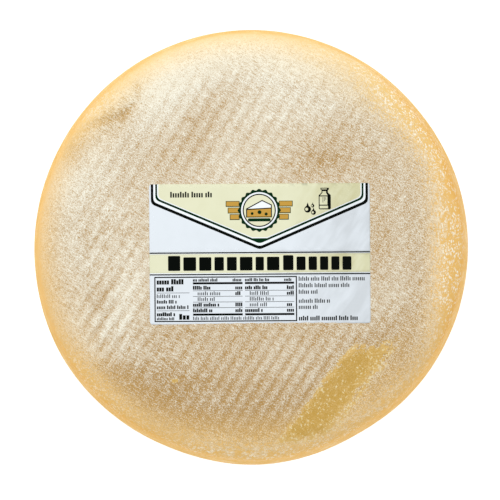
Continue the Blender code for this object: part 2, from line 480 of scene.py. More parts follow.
CREAM = colour(0.975, 0.935, 0.79)
WARM_CREAM = colour(1.0, 0.83, 0.55)
TAN = colour(0.465, 0.270, 0.086)
WARM_TAN = colour(0.60, 0.370, 0.125)
PALE_GOLD = colour(0.86, 0.585, 0.225)
GOLD = colour(0.865, 0.52, 0.152)
SKIN = colour(0.88, 0.495, 0.118)
RIM_SKIN = colour(0.80, 0.42, 0.080)
CURL = colour(1.0, 0.94, 0.78)
WORM = colour(1.0, 0.865, 0.63)
WARM_WORM = colour(1.0, 0.79, 0.50)
DEEP_FLOUR = colour(0.80, 0.575, 0.295)
PALE_FLOUR = colour(0.98, 0.80, 0.55)
DEEP_AMBER = colour(0.78, 0.45, 0.11)
PALE_AMBER = colour(0.92, 0.60, 0.215)
BARE = colour(0.58, 0.345, 0.068)
WORN = colour(0.735, 0.475, 0.155)
WORN_FLECK = colour(0.86, 0.71, 0.40)

RIND_ROUGHNESS = 0.7
RIND_GLOSS = 0.10
NAP_HEIGHT = 0.3 * MM
NAP_STRENGTH = 0.6

# Sizes of the marks on the rind
GRAIN_SIZE = 0.56 * MM
NAP_SIZE = 0.72 * MM
SPECK_SIZE = 0.85 * MM
HOOP_SIZE = 1.0 * MM
CURL_SIZE = 1.2 * MM
SCUFF_SIZE = 1.2 * MM
FLAKE_SIZE = 1.5 * MM
CRACK_SIZE = 2.4 * MM
CREASE_SIZE = 3.2 * MM
RAG_SIZE = 3.2 * MM
BAND_SIZE = 4.0 * MM
CLUMP_SIZE = 4.5 * MM
DRIFT_SIZE = 16 * MM

# How far they are drawn out: fibres across and along the strands, rags along the bare stripe, the rest
# round the wheel
FIBRES_ACROSS = (1.0, 7.0, 1.0)
FIBRES_ALONG = (5.0, 1.0, 1.0)
RAGS_ALONG = (3.0, 1.0, 1.0)
CURL_STRETCH = 2.6
HOOP_STRETCH = 7.0
BAND_STRETCH = 9.0

# Size and reach of the swirls that draw the marks into strokes
FINE_SWIRL = (3 * MM, 1.6 * MM)
BROAD_SWIRL = (6 * MM, 1.2 * MM)

# How much of the surface the curls of bloom and the chinks in it cover where they lie
CURL_SHARE = 0.24
CHINK_SHARE = 0.20


def bloom_nap(tree, stirred, grain, clumps, thin):
    """The bloom's short fibres, which lie across the strands, and along them where they pressed."""
    across_strands = turned(tree, stirred, MAT_DIRECTION, FIBRES_ACROSS)
    along_strands = turned(tree, stirred, MAT_DIRECTION, FIBRES_ALONG)
    threads = named(tree, "threads")
    lay = named(tree, "print").rising(0.15, 0.6) * 0.25
    nap_across = mottle(tree, across_strands, NAP_SIZE, detail=1.0, seed=14.0)
    nap_along = mottle(tree, along_strands, NAP_SIZE, detail=1.0, seed=15.0)
    nap = nap_across + (nap_along - nap_across) * lay
    nap = (nap * 1.7).clamped(-1.0, 1.0)
    sand = thin * 0.36 + threads * 0.20 + 0.78
    hair = threads * -0.24 + named(tree, "hatched") * 0.50 - thin * 0.08 - lay * 0.20 + 0.39
    wool = grain * sand + nap * hair + clumps * 0.06
    creases = strokes(tree, along_strands, CREASE_SIZE, 17.0)
    cracks = mottle(tree, along_strands, CRACK_SIZE, detail=0.0, seed=23.0).math("ABSOLUTE") * -8.0 + 1.0
    cracks = cracks.math("MAXIMUM", 0.0) * clumps.rising(-0.10, 0.25)
    return wool - ((creases + 0.3) * 0.12 + cracks * 0.42) * named(tree, "creased")


def curls_and_chinks(tree, drawn):
    """Dashes round the wheel where curls of bloom lie, and others where the skin shows through it."""
    arc, outwards = wound(tree, drawn)
    curled = joined(tree, arc / CURL_STRETCH, outwards, split(tree, drawn)[2])
    beside = vector_math(tree, "ADD", curled, (0.3, 0.2, 0.1))
    return dashes(tree, curled, CURL_SIZE, CURL_SHARE), dashes(tree, beside, CURL_SIZE, CHINK_SHARE)


def wall_over(tree, body, place, clumps, drifts, specks):
    """Hoop marks on the wall, drifts of deeper and paler amber, and bloom left in patches."""
    side = named(tree, "side")
    arc, outwards = wound(tree, place)
    wrapped = joined(tree, arc / BAND_STRETCH, split(tree, place)[2], outwards)
    bands = mottle(tree, wrapped, BAND_SIZE, detail=3.0, seed=81.0)
    scuffs = mottle(tree, wrapped, SCUFF_SIZE, detail=1.0, seed=83.0)
    amber = (drifts * 0.9 + bands * 0.5 + clumps * 0.3 + scuffs * 0.4).rising(-0.9, 0.9)
    body = mixed(tree, side * 0.85, body, mixed(tree, amber, DEEP_AMBER, PALE_AMBER))
    patches = drifts + clumps * 0.5 + bands * 0.3 + scuffs * 0.9 + specks * 0.6
    return mixed(tree, patches.rising(0.10, 0.75) * side * 0.34, body, WORM)


def stripe_over(tree, body, drawn, grain, clumps):
    """The worn skin of the bare stripe, with pale flecks left on it."""
    bare = named(tree, "bare")
    rags = mottle(tree, turned(tree, drawn, BARE_TURN, RAGS_ALONG), RAG_SIZE,
                  detail=3.0, roughness=0.6, seed=44.0)
    flakes = mottle(tree, drawn, FLAKE_SIZE, roughness=0.6, seed=52.0)
    ragged_bare = (bare + rags * 0.9 + flakes * -0.9).rising(0.34, 0.56) * bare.rising(0.02, 0.35)
    worn = (bare * -2.4 + 1.8 + clumps + rags * 1.5 + grain * 1.4).rising(-1.1, 1.1)
    body = mixed(tree, ragged_bare * 0.92, body, mixed(tree, worn, BARE, WORN))
    flecks = (flakes + rags * 0.3 - bare * 0.10).rising(0.09, 0.18)
    return mixed(tree, flecks * bare.rising(0.05, 0.35) * 0.80, body, WORN_FLECK)


def rind_material():
    """Bloom over golden skin, with the wall's and the bare stripe's finish laid over them."""
    material, tree, shader, place = new_material("rind_with_bloom")
    drawn = swirled(tree, place, *FINE_SWIRL, 21.0)
    stirred = swirled(tree, place, *BROAD_SWIRL, 27.0)
    grain = mottle(tree, place, GRAIN_SIZE, detail=0.0, seed=6.0)
    clumps = mottle(tree, place, CLUMP_SIZE, seed=8.0)
    drifts = mottle(tree, place, DRIFT_SIZE, seed=12.0)
    specks = mottle(tree, drawn, SPECK_SIZE, detail=1.0, roughness=0.6, seed=61.0)
    arc, outwards = wound(tree, place)
    hoops = mottle(tree, joined(tree, arc / HOOP_STRETCH, outwards), HOOP_SIZE, detail=1.0, seed=66.0)
    flaky = named(tree, "flaky")
    streaked = named(tree, "streaked")
    gold = named(tree, "gold")
    gold = gold + (clumps * 0.08 + hoops * (streaked * 0.30 + 0.10)) * gold.rising(0.02, 0.30)

    # Bloom: cream where it lies thick, tan where it is thin and in the mat's furrows, where the tan is in
    # part thinner bloom and in part painted shade
    bloom = named(tree, "bloom")
    thin = (bloom * -1.0 + 0.60).rising(0.0, 0.35)
    wool = bloom_nap(tree, stirred, grain, clumps, thin)
    crumbs = mottle(tree, stirred, SPECK_SIZE, detail=1.0, seed=71.0).rising(0.22, 0.40)
    furrow = named(tree, "furrow").math("POWER", 0.75)
    # The furrows' share of tan is in part painted shade in them
    covered = bloom + wool + crumbs * 0.05 + drifts * 0.04 - furrow * 0.42
    covered = covered + flaky * gold.rising(0.25, 0.50) * 0.14
    warmth = named(tree, "warm")
    cream = mixed(tree, warmth, CREAM, WARM_CREAM)
    tan = mixed(tree, warmth, TAN, WARM_TAN)
    body = mixed(tree, (covered * 0.895).clamped(), tan, cream)

    # Golden skin, with worms of bloom on it that lie round the wheel where the skin is streaked
    worms = specks * (streaked * -0.5 + 1.3) + hoops * (streaked * 1.4 + 0.2) + clumps * 0.3
    # Towards the far (+y) side, where the key light comes from, the skin turns paler and less deep: in part
    # thicker bloom there, in part a painted highlight
    far_side_bloom_and_highlight = split(tree, place)[1].rising(0.02, 0.14)
    deep = (gold * 1.1 + grain * 0.20 + hoops * 0.6).rising(0.70, 1.15) * (far_side_bloom_and_highlight * -0.7 + 1.0)
    skin = mixed(tree, deep, mixed(tree, far_side_bloom_and_highlight, GOLD, PALE_GOLD), SKIN)
    skin = mixed(tree, gold.rising(0.85, 1.05) * 0.5, skin, RIM_SKIN)
    rubbed = (gold - worms * 0.30 * gold.rising(0.02, 0.20)).clamped()
    cleared = (gold - worms * 1.15 + 0.03).rising(0.28, 0.62) * gold.rising(0.02, 0.15)
    cleared = rubbed + (cleared - rubbed) * flaky
    body = mixed(tree, gold.rising(0.10, 0.45) * (flaky * -0.10 + 0.10), body, WORM)
    flour = mixed(tree, (wool * 0.9 + clumps * 0.3 + 0.5).clamped(), DEEP_FLOUR, PALE_FLOUR)
    floured = (gold + hoops * streaked * 0.12).rising(0.03, 0.45) * flaky * (thin * 0.25 + 0.50)
    body = mixed(tree, floured, body, flour)
    body = mixed(tree, cleared, body, skin)

    # Chinks of skin in the bloom beside it, and curls of bloom on the skin
    curls, chinks = curls_and_chinks(tree, drawn)
    grouped = (clumps * 1.3 + drifts * 0.6 + 0.38).rising(0.0, 0.5)
    shown = chinks * flaky * gold.rising(0.03, 0.16) * gold.rising(0.85, 0.45) * grouped
    body = mixed(tree, shown * 0.40, body, skin)
    strewn = flaky * gold.rising(0.22, 0.55) * (gold.rising(0.85, 1.0) * -0.20 + 1.0) * grouped
    body = mixed(tree, curls * strewn * 0.90, body, mixed(tree, thin, CURL, WARM_WORM))

    body = wall_over(tree, body, place, clumps, drifts, specks)
    body = stripe_over(tree, body, drawn, grain, clumps)
    plug(tree, body, shader.inputs["Base Color"])
    shader.inputs["Roughness"].default_value = RIND_ROUGHNESS
    shader.inputs["Specular IOR Level"].default_value = RIND_GLOSS
    bump = added(tree, "ShaderNodeBump",
                 {"Height": wool, "Distance": NAP_HEIGHT, "Strength": NAP_STRENGTH})
    plug(tree, bump, shader.inputs["Normal"])
    return material


# ---------------------------------------------------------------- the relief, by Geometry Nodes

RELIEF_SIZES = {
    "Strand direction": MAT_DIRECTION,
    "Strand pitch": MAT_PITCH,
    "Pitch growth": MAT_PITCH_GROWTH,
    "Fan": MAT_FAN,
    "Fan start": MAT_FAN_START,
    "Print depth": 1.6 * MAT_DEPTH,
    "Strand wander": 0.045,
    "Lump height": 0.00018,
    "Lump size": 0.009,
    "Wrinkle height": 0.00010,
    "Wrinkle size": 0.0034,
    "Crease height": 0.00035,
    "Crease size": 0.0042,
    "Crease stretch": 3.5,
    "Seed": 5.0,
}


def named_field(tree, name):
    """A named attribute of the mesh, read by Geometry Nodes."""
    return added(tree, "GeometryNodeInputNamedAttribute", {"Name": name}, data_type="FLOAT")


def relief_tree():
    """Presses the draining mat's print into a surface and raises the rind's lumps and wrinkles."""
    tree = bpy.data.node_groups.new("mat_print_and_lumps", "GeometryNodeTree")
    face = tree.interface
    face.new_socket("Geometry", in_out="INPUT", socket_type="NodeSocketGeometry")
    face.new_socket("Finish", in_out="INPUT", socket_type="NodeSocketMaterial")
    for name, size in RELIEF_SIZES.items():
        face.new_socket(name, in_out="INPUT", socket_type="NodeSocketFloat").default_value = size
    face.new_socket("Geometry", in_out="OUTPUT", socket_type="NodeSocketGeometry")
    entry = tree.nodes.new("NodeGroupInput")
    size = {socket.name: Wire(tree, socket) for socket in entry.outputs if socket.name}

    place = added(tree, "GeometryNodeInputPosition")
    x, y, _ = split(tree, place)
    cosine = size["Strand direction"].math("COSINE")
    sine = size["Strand direction"].math("SINE")
    along = cosine * x + sine * y + size["Fan start"]
    across = cosine * y - sine * x
    strands = across / (along * along * size["Fan"] + 1.0) / size["Strand pitch"]
    strands = strands - strands * strands * size["Pitch growth"] / size["Strand pitch"]
    wander = mottle(tree, place, 14 * MM, seed=31.0) + mottle(tree, place, 3.5 * MM, seed=37.0) * 0.4
    strands = strands + wander * size["Strand wander"]
    from_furrow = (strands - strands.math("ROUND")).math("ABSOLUTE")
    furrow = (from_furrow * -2.0 + 1.0).math("POWER", 2.0) * named_field(tree, "print")

    def noise_of(where, size_name, seed_step):
        noise = added(tree, "ShaderNodeTexNoise",
                      {"Vector": where, "Scale": size[size_name].math("POWER", -1.0),
                       "W": size["Seed"] + seed_step, "Detail": 2.0},
                      noise_dimensions="4D")
        return noise * 2.0 - 1.0

    along_strands = joined(tree, along / size["Crease stretch"], across)
    lumps = noise_of(place, "Lump size", 0.0) * size["Lump height"]
    wrinkles = noise_of(place, "Wrinkle size", 9.0) * size["Wrinkle height"]
    creases = noise_of(along_strands, "Crease size", 14.0) * size["Crease height"]
    lumps = (lumps + wrinkles + creases * named_field(tree, "creased")) * named_field(tree, "lumpy")
    rise = lumps - furrow * size["Print depth"]
    normal = added(tree, "GeometryNodeInputNormal")
    offset = added(tree, "ShaderNodeVectorMath", {"Vector": normal, "Scale": rise}, operation="SCALE")

    stored = added(tree, "GeometryNodeStoreNamedAttribute",
                   {"Geometry": size["Geometry"], "Name": "furrow", "Value": furrow})
    moved = added(tree, "GeometryNodeSetPosition", {"Geometry": stored, "Offset": offset})
    real = added(tree, "GeometryNodeRealizeInstances", {"Geometry": moved})
    finished = added(tree, "GeometryNodeSetMaterial", {"Geometry": real, "Material": size["Finish"]})
    leave = tree.nodes.new("NodeGroupOutput")
    plug(tree, finished, leave.inputs[0])
    return tree


def grown(piece, tree, finish, **changes):
    """Runs a node tree on a piece and keeps the result as the piece's plain mesh."""
    modifier = piece.modifiers.new(tree.name, "NODES")
    modifier.node_group = tree
    for socket in tree.interface.items_tree:
        if socket.in_out == "INPUT" and socket.socket_type == "NodeSocketMaterial":
            modifier[socket.identifier] = finish
        elif socket.in_out == "INPUT" and socket.name in changes:
            modifier[socket.identifier] = changes[socket.name]
    bpy.context.view_layer.update()
    evaluated = piece.evaluated_get(bpy.context.evaluated_depsgraph_get())
    result = bpy.data.meshes.new_from_object(evaluated)
    piece.modifiers.remove(modifier)
    old = piece.data
    piece.data = result
    bpy.data.meshes.remove(old)
    result.name = piece.name


# ---------------------------------------------------------------- the wheel

def ring_of_points(inward, height):
    angles = np.arange(AROUND) * math.tau / AROUND
    radius = outline_radius(angles) - inward
    x = radius * np.cos(angles)
    y = radius * np.sin(angles)
    return np.column_stack((x, y, height(x, y)))


def lattice(spacing, inside):
    """Points of a triangular lattice that pass a test."""
    row_height = spacing * math.sqrt(3) / 2
    row_count = math.ceil(WHEEL_RADIUS / row_height)
    step_count = math.ceil(WHEEL_RADIUS / spacing)
    step, row = np.meshgrid(np.arange(-step_count, step_count + 1), np.arange(-row_count, row_count + 1))
    x = ((step + 0.5 * (row % 2)) * spacing).ravel()
    y = (row * row_height).ravel()
    points = np.column_stack((x, y))
    return points[inside(x, y)]


def filled(loop, inner):
    """Triangles over a loop of flat points and the loose points in it."""
    flat = [Vector(point) for point in np.vstack((loop[:, :2], inner))]
    edges = [(index, (index + 1) % len(loop)) for index in range(len(loop))]
    _, _, faces, sources, _, _ = delaunay_2d_cdt(flat, edges, [], 1, 1e-7)
    return np.array([[sources[corner][0] for corner in face] for face in faces])


def well_inside(inward, margin):
    """A test for points that lie well inside a ring of the wheel."""
    def test(x, y):
        return outline_radius(np.arctan2(y, x)) - inward - np.hypot(x, y) > margin
    return test


def under_label(x, y, margin):
    flat_x, flat_y = label_flat(x, y)
    return (np.abs(flat_x) < LABEL_WIDTH / 2 - margin) & (np.abs(flat_y) < LABEL_HEIGHT / 2 - margin)


def level(height):
    return lambda x, y: np.full_like(x, height)


def below_top(drop):
    return lambda x, y: broad_top(x, y) - drop


# The wheel's surface laid flat on the bake's square: middles and radii of discs, corners of strips
TOP_PART, WALL_PART, BASE_PART = range(3)
TOP_DISC = ((0.404, 0.404), 0.398)
BASE_DISC = ((0.907, 0.907), 0.086)
STRIP_LENGTH = 0.385
WALL_STRIPS = ((0.815, 0.006, True), (0.815, 0.405, True), (0.006, 0.815, False), (0.405, 0.815, False))


def wheel_rings():
    """Rings from the base's edge up the wall and over the shoulder: inward step and height rule."""
    rings = []
    for turn in np.linspace(0, math.pi / 2, BASE_RINGS)[:-1]:
        inward = SIDE_BULGE + BASE_SHOULDER * (1 - math.sin(turn))
        rings.append((inward, level(BASE_SHOULDER * (1 - math.cos(turn)))))
    wall_top = WHEEL_HEIGHT - TOP_FALL - SHOULDER_DROP
    for share in np.linspace(0, 1, WALL_RINGS)[:-1]:
        inward = SIDE_BULGE * (2 * share - 1) ** 2
        rings.append((inward, level(BASE_SHOULDER + share * (wall_top - BASE_SHOULDER))))
    for turn in np.linspace(0, math.pi / 2, SHOULDER_RINGS):
        inward = SIDE_BULGE + SHOULDER_WIDTH * (1 - math.cos(turn))
        rings.append((inward, below_top(SHOULDER_DROP * (1 - math.sin(turn)))))
    return rings


def wheel_body():
    """The smooth wheel as a dense closed mesh."""
    rings = wheel_rings()
    parts = [ring_of_points(inward, height) for inward, height in rings]
    faces = []
    around = np.arange(AROUND)
    for number in range(len(rings) - 1):
        here = number * AROUND + around
        beside = number * AROUND + (around + 1) % AROUND
        faces.append(np.column_stack((here, beside, beside + AROUND)))
        faces.append(np.column_stack((here, beside + AROUND, here + AROUND)))

    open_top = well_inside(rings[-1][0], 0.6 * TOP_SPACING)
    seen = lattice(TOP_SPACING, lambda x, y: open_top(x, y) & ~under_label(x, y, DENSE_UNDER_LABEL))
    hidden = lattice(HIDDEN_SPACING, lambda x, y: under_label(x, y, COARSE_UNDER_LABEL))
    inner = np.vstack((seen, hidden))
    sunk = np.repeat((0.0, HIDDEN_BED), (len(seen), len(hidden)))
    first = (len(rings) - 1) * AROUND
    count = len(rings) * AROUND
    triangles = filled(parts[-1], inner)
    faces.append(np.where(triangles < AROUND, triangles + first, triangles - AROUND + count))
    parts.append(np.column_stack((inner, broad_top(inner[:, 0], inner[:, 1]) - sunk)))
    count += len(inner)

    base_inner = lattice(BASE_SPACING, well_inside(rings[0][0], BASE_SPACING / 2))
    triangles = filled(parts[0], base_inner)[:, ::-1]
    faces.append(np.where(triangles < AROUND, triangles, triangles - AROUND + count))
    parts.append(np.column_stack((base_inner, np.zeros(len(base_inner)))))

    wall_rings = len(rings) - SHOULDER_RINGS
    part_of_face = np.full(sum(map(len, faces)), TOP_PART)
    part_of_face[:2 * AROUND * wall_rings] = WALL_PART
    part_of_face[-len(triangles):] = BASE_PART
    return np.vstack(parts), np.vstack(faces), part_of_face, len(rings)


def lay_flat(points, faces, part_of_face, ring_count):
    """A place on the bake's square for each face corner: the top as a disc, the wall in four strips."""
    x, y, _ = points.T
    angle = np.arctan2(y, x)
    ring_points = ring_count * AROUND
    profile = points[:ring_points:AROUND]
    steps = np.hypot(np.diff(profile[:, 0]), np.diff(profile[:, 2]))
    climbed = np.zeros(len(points))
    climbed[:ring_points] = np.repeat(np.concatenate(([0], np.cumsum(steps))), AROUND)
    spread = np.hypot(x, y)
    last_ring = spread[ring_points - AROUND:ring_points]
    spread[:ring_points] = np.tile(last_ring, ring_count) + steps.sum() - climbed[:ring_points]

    corners = faces.ravel()
    part = np.repeat(part_of_face, 3)
    disc_scale = TOP_DISC[1] / spread[corners[part == TOP_PART]].max()
    flat = TOP_DISC[0] + disc_scale * (spread * (np.cos(angle), np.sin(angle))).T[corners]

    quarter_turn = math.tau / len(WALL_STRIPS)
    middle = np.arctan2(y[faces].mean(axis=1), x[faces].mean(axis=1)) % math.tau
    quarter = np.repeat((middle / quarter_turn).astype(int), 3)
    turned_by = (angle[corners] - quarter * quarter_turn + 0.5) % math.tau - 0.5
    strip_scale = STRIP_LENGTH / (WHEEL_RADIUS * quarter_turn)
    along = turned_by * WHEEL_RADIUS * strip_scale
    up = climbed[corners] * strip_scale
    for number, (left, low, upright) in enumerate(WALL_STRIPS):
        here = (part == WALL_PART) & (quarter == number)
        strip = np.column_stack((up, along) if upright else (along, up))
        flat[here] = strip[here] + (left, low)

    below = part == BASE_PART
    base_scale = BASE_DISC[1] / np.hypot(x, y)[corners[below]].max()
    flat[below] = BASE_DISC[0] + base_scale * np.column_stack((-x, y))[corners[below]]
    return flat


def give_bake_map(piece, flat):
    piece.data.uv_layers.new(name="OFBake").uv.foreach_set("vector", flat.ravel())


def mesh_object(name, points, faces):
    mesh = bpy.data.meshes.new(name)
    mesh.from_pydata(points.tolist(), [], faces.tolist())
    mesh.update()
    mesh.shade_smooth()
    made = bpy.data.objects.new(name, mesh)
    bpy.context.collection.objects.link(made)
    return made


def give_attribute(piece, name, values):
    layer = piece.data.attributes.new(name, "FLOAT", "POINT")
    layer.data.foreach_set("value", np.asarray(values, dtype=np.float32))


def bare_stripe(x, y):
    """1 along the middle of the bare stripe, 0 outside it; its left side is the sharper one."""
    along, across = own_axes(x, y, BARE_MIDDLE, BARE_TURN)
    left = soft_step(*BARE_FROM_LEFT, across)
    flare = BARE_FLARE * soft_step(*BARE_FLARE_REACH, along)
    right = soft_step(*BARE_FROM_RIGHT, across + flare)
    upper_end = soft_step(*BARE_FROM_ABOVE, along + across)
    lower_end = soft_step(*BARE_FROM_BELOW, along + across)
    return left * right * upper_end * lower_end


def give_finish_map(wheel, points):
    """Writes on the mesh where the bloom lies, where the skin is golden and where the mat pressed."""
    x, y, z = points.T
    from_edge = outline_radius(np.arctan2(y, x)) - np.hypot(x, y)
    near_edge = np.clip(1 - from_edge / GOLDEN_MARGIN[-1], 0, 1)
    patch_share = np.clip(1 - from_edge / PATCH_REACH, 0, 1)
    upper = soft_step(*WALL_UPPER_END, z)
    off_wall = np.maximum(upper, BASE_SHARE * soft_step(*WALL_LOWER_END, z))

    def share_of(ovals):
        return np.clip(all_ovals(x, y, ovals), 0, 1)

    def from_margin(distances, shares, patches):
        """A share that changes with the distance from the outline and in patches, 1 on the wall."""
        share = np.interp(from_edge, distances, shares) + all_ovals(x, y, patches) * patch_share
        return 1 - (1 - np.clip(share, 0, 1)) * off_wall

    bloom = BLOOM_LEVEL + BLOOM_RISE * y + BLOOM_VARIES * all_ovals(x, y, THICK_AND_THIN_BLOOM)
    bloom = bloom + BLOOM_AT_RIM * near_edge
    # Painted shade along the crease across the dent: the bloom is made thinner there, so it turns tan
    bloom = bloom - CREASE_PAINTED_SHADE * near_line(x, y, DENT_CREASE, 1.3 * CREASE_HALF_WIDTH)
    bare = np.maximum(bare_stripe(x, y), all_ovals(x, y, BARE_FLECKS)) * upper
    flat = soft_step(*PRESSED_MARGIN, from_edge - SHOULDER_WIDTH) * upper
    pressed = np.clip(PRESSED_EVERYWHERE + all_ovals(x, y, MAT_PRESSED), 0, 1) * flat * (1 - bare)
    threads = share_of(CROSSED_BY_THREADS)
    smooth = under_label(x, y, -SMOOTH_BEYOND_LABEL) | (z < SMOOTH_BELOW)
    finish = {
        "bloom": bloom,
        "warm": from_margin(WARM_MARGIN, (1.0, 0.0), WARM_PATCHES),
        "gold": from_margin(GOLDEN_MARGIN, GOLDEN_SHARE, GOLDEN_PATCHES),
        "flaky": share_of(FLAKY),
        "streaked": share_of(STREAKED),
        "hatched": share_of(HATCHED),
        "threads": threads,
        "creased": share_of(CREASED) * upper,
        "bare": bare,
        "side": 1 - off_wall,
        "print": pressed * ~under_label(x, y, PRINT_UNDER_LABEL),
        "lumpy": np.where(smooth, 0.0, 1 - FLATTENED_BY_THREADS * threads),
    }
    for name, values in finish.items():
        give_attribute(wheel, name, values)


def build_wheel(relief):
    points, faces, part_of_face, ring_count = wheel_body()
    wheel = mesh_object("wheel_with_rind", points, faces)
    give_finish_map(wheel, points)
    grown(wheel, relief, rind_material())
    give_bake_map(wheel, lay_flat(points, faces, part_of_face, ring_count))
    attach(wheel, "root")
    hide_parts("cheese_wheel")


# ---------------------------------------------------------------- the label's print

# Lengths are in millimetres here, and places are measured from the label's middle
HALF_WIDTH = LABEL_WIDTH / MM / 2
HALF_HEIGHT = LABEL_HEIGHT / MM / 2
ARC_STEPS = 4

# The pennant's side and tip, the rise of its slopes, and how its tip and its bends are rounded
PENNANT_SIDE = 82.3
PENNANT_TIP = 3.2
PENNANT_SLOPE = 0.426
PENNANT_TIP_REACH = 12.0
PENNANT_TIP_ROUNDING = 2.5
PENNANT_BEND_ROUNDING = 3.0

# Its layers from the lowest up: ink, steps in from the side and from the slopes, lower end where it is cut
PENNANT_LAYERS = (
    ("dark_ink", 0.0, 0.0, None),
    ("white_ink", 1.9, 2.4, None),
    ("green_ink", 3.4, 4.5, None),
    ("white_ink", 4.8, 6.2, 11.8),
    ("cream_ink", 5.7, 6.9, 12.5),
)

# The band's layers from the lowest up: ink, upper and lower edge
BAND_LAYERS = (
    ("dark_ink", 1.4, -15.9),
    ("white_ink", 0.5, -15.0),
    ("cream_ink", 0.0, -14.3),
)

# The groups of blocks on it: left end, right end, count
BAND_GROUPS = ((-69.6, 14.8, 8), (17.6, 69.4, 6))
BAND_BLOCK_TOP = -2.3
BAND_FIRST_BLOCK_TOP = -1.2
BAND_BLOCK_FOOT = -12.6
BAND_BLOCK_GAP = 2.3
BAND_BLOCK_CORNER = 0.9

# Rows of small blocks: how many stand in a group, the share that is tall, the height of the others, the gap
BLOCKS_IN_GROUP = (3, 9)
TALL_SHARE = 0.4
LOW_HEIGHT = 0.76
GROUP_GAP = 0.7

# The ruled table: its frame and the width of its rule
TABLE_LEFT = -80.1
TABLE_RIGHT = 28.0
TABLE_TOP = -17.0
TABLE_FOOT = -51.3
TABLE_RULE = 0.9

# Its narrow column: left end, rules, and right end, top, height and weight of each row
NARROW_LEFT = -78.3
NARROW_RULES = (-29.1, -42.6)
NARROW_ROWS = (
    (-56.2, -18.8, 4.0, 0.86),
    (-64.6, -24.1, 4.0, 0.86),
    (-60.0, -30.3, 2.8, 0.50),
    (-62.7, -34.5, 2.8, 0.74),
    (-53.2, -38.7, 2.8, 0.74),
    (-63.5, -43.9, 3.0, 0.86),
    (-64.0, -47.7, 2.2, 0.70),
)

# Its two wide columns: left end, right end, and which rows are set in
WIDE_COLUMNS = ((-50.9, -13.2, (1, 2)), (-11.4, 25.9, (1, 2, 3)))
WIDE_HEAD_TOP = -18.4
WIDE_HEAD_HEIGHT = 2.4
WIDE_THICK_RULES = ((-21.3, -22.9), (-45.0, -46.6))
WIDE_ROWS = 5
WIDE_ROWS_TOP = -24.0
WIDE_ROW_PITCH = 4.3
WIDE_ROW_HEIGHT = 2.9
WIDE_ROW_INSET = 3.6

# The rows beside the table: right end, top, height, weight
SIDE_LEFT = 29.3
SIDE_ROWS = (
    (81.0, -17.4, 3.3, 0.55),
    (68.8, -22.4, 3.3, 0.55),
    (45.5, -27.3, 3.3, 0.55),
    (53.9, -34.2, 3.3, 0.55),
    (44.4, -38.8, 3.3, 0.55),
    (75.2, -47.2, 3.6, 0.68),
)
SIDE_PITCH = 0.42

# The seal: its middle, scallops, inner rings as ink and step in from its edge, bars and the wedge's holes
SEAL_MIDDLE = (-0.2, 32.9)
SEAL_RADIUS = 16.4
SEAL_POINTS = 20
SEAL_RINGS = (("white_ink", 2.6), ("dark_ink", 3.8), ("cream_ink", 4.7))
SEAL_BARS = (9.5, 8.0, 6.5)
SEAL_BARS_TOP = 6.8
SEAL_BAR_PITCH = 5.0
WEDGE_HOLES = ((-5.4, -2.4, 1.1), (0.2, -1.4, 1.5), (5.2, -2.8, 1.2))

# The churn and, from its middle, its drops: x, y, radius
CHURN_MIDDLE = (49.5, 41.5)
DROPS = ((-13.0, -8.0, 2.6), (-8.6, -10.4, 1.9), (-9.2, -5.4, 1.3))


def rounded_corner(last, corner, following, radius):
    """Points along a corner between two others, once it is rounded off."""
    last, corner, following = np.array((last, corner, following), dtype=float)
    to_last = last - corner
    to_next = following - corner
    start = corner + to_last * min(radius / np.hypot(*to_last), 0.49)
    end = corner + to_next * min(radius / np.hypot(*to_next), 0.49)
    share = np.linspace(0, 1, ARC_STEPS + 1)[:, None]
    return (1 - share) ** 2 * start + 2 * share * (1 - share) * corner + share ** 2 * end


def rounded(corners, radius):
    """A polygon with its corners rounded off."""
    neighbours = zip(np.roll(corners, 1, axis=0), corners, np.roll(corners, -1, axis=0))
    return np.vstack([rounded_corner(*three, radius) for three in neighbours])


def box(left, right, top, bottom, radius=0.0):
    corners = [(left, bottom), (right, bottom), (right, top), (left, top)]
    return rounded(corners, radius) if radius else np.array(corners)


def disc(middle, radius, count, ripple=0.0, ripples=0):
    """A disc, or with a ripple a seal with a scalloped edge."""
    angles = np.arange(count) * math.tau / count
    radii = radius + ripple * np.cos(angles * ripples)
    return np.column_stack((middle[0] + radii * np.cos(angles), middle[1] + radii * np.sin(angles)))


def placed(shapes, middle):
    """Inked outlines moved from the label's middle to another."""
    return [(ink, np.add(corners, middle)) for ink, corners in shapes]


def pennant(from_side, from_slope, lowest):
    """The pennant that hangs from the upper edge, drawn in from its side and from its slopes."""
    side = PENNANT_SIDE - from_side
    tip = PENNANT_TIP + from_slope
    bend = tip + PENNANT_SLOPE * side
    if lowest is None:
        beside_tip = tip + PENNANT_SLOPE * PENNANT_TIP_REACH
        low = rounded_corner((-PENNANT_TIP_REACH, beside_tip), (0.0, tip),
                             (PENNANT_TIP_REACH, beside_tip), PENNANT_TIP_ROUNDING)
    else:
        reach = (lowest - tip) / PENNANT_SLOPE
        low = np.array([(-reach, lowest), (reach, lowest)])
    soft = rounded_corner((side, HALF_HEIGHT), (side, bend), (0.0, tip), PENNANT_BEND_ROUNDING)
    return np.vstack((low, soft[::-1], [(side, HALF_HEIGHT), (-side, HALF_HEIGHT)], soft * (-1, 1)))


def row_of_blocks(chance, left, right, top, height, weight, pitch=0.48):
    """A row of small upright blocks in groups, some of them tall."""
    step = pitch * height
    blocks = []
    place = left
    while place < right - step:
        for _ in range(chance.integers(*BLOCKS_IN_GROUP)):
            if place > right - step:
                break
            share = 1.0 if chance.random() < TALL_SHARE else LOW_HEIGHT
            blocks.append(box(place, place + weight * step, top - (1 - share) * height, top - height))
            place += step
        place += GROUP_GAP * step
    return blocks


